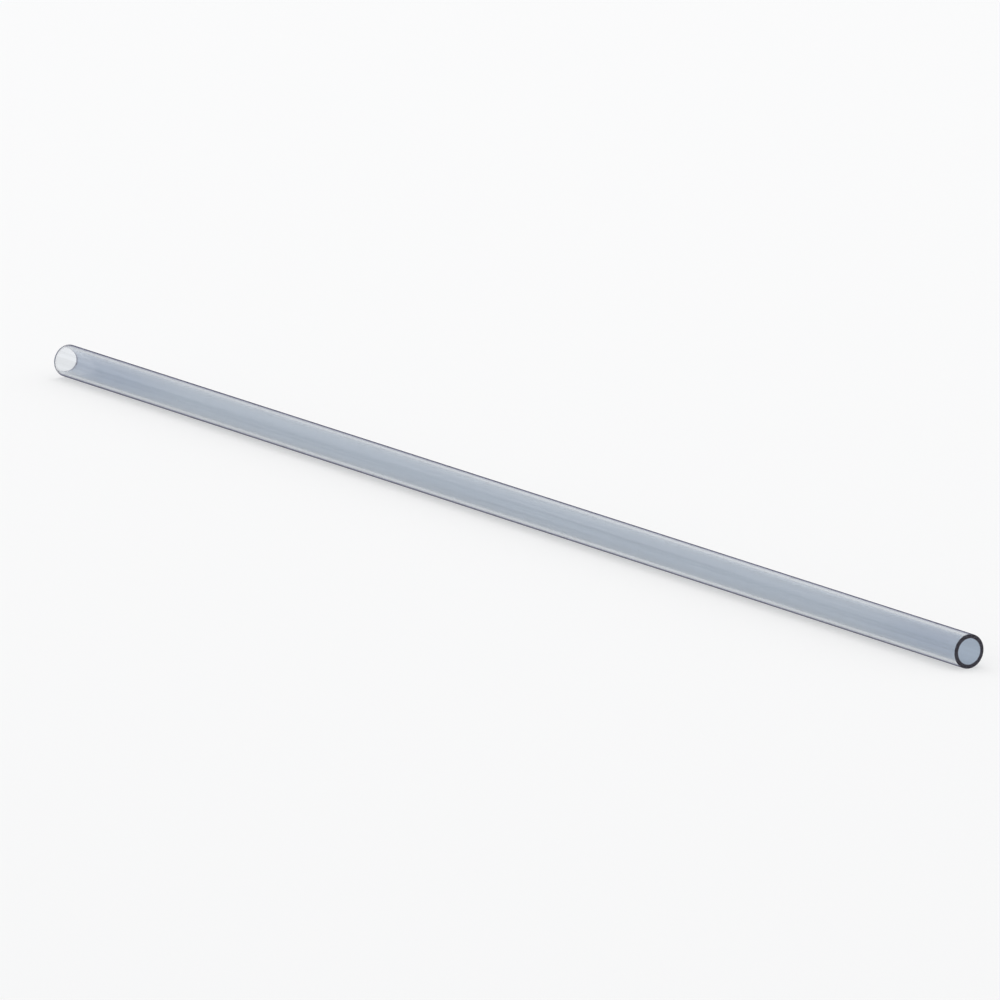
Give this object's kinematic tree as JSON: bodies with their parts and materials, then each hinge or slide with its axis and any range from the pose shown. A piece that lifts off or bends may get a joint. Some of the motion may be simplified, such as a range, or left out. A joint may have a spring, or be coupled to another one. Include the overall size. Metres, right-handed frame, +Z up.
{
  "type": "capillary tube",
  "caption": "Straight thin-walled clear plastic capillary tube, open at both ends, that draws up and carries a small liquid sample.",
  "frame": {"origin": "under the middle of the tube's length, on the line where the outside wall touches the surface that it lies on", "axes": "+X along the tube to one cut end, +Y across it, +Z up through its axis; the bore's axis is 1.025 mm above the origin"},
  "size_m": [0.1, 0.002, 0.0021],
  "materials": {
    "clear_plastic": "clear with a faint blue-grey tint, smooth and glossy as extruded, cut ends a little duller"
  },
  "bodies": {
    "root": {"tube": "clear_plastic"}
  },
  "joints": []
}
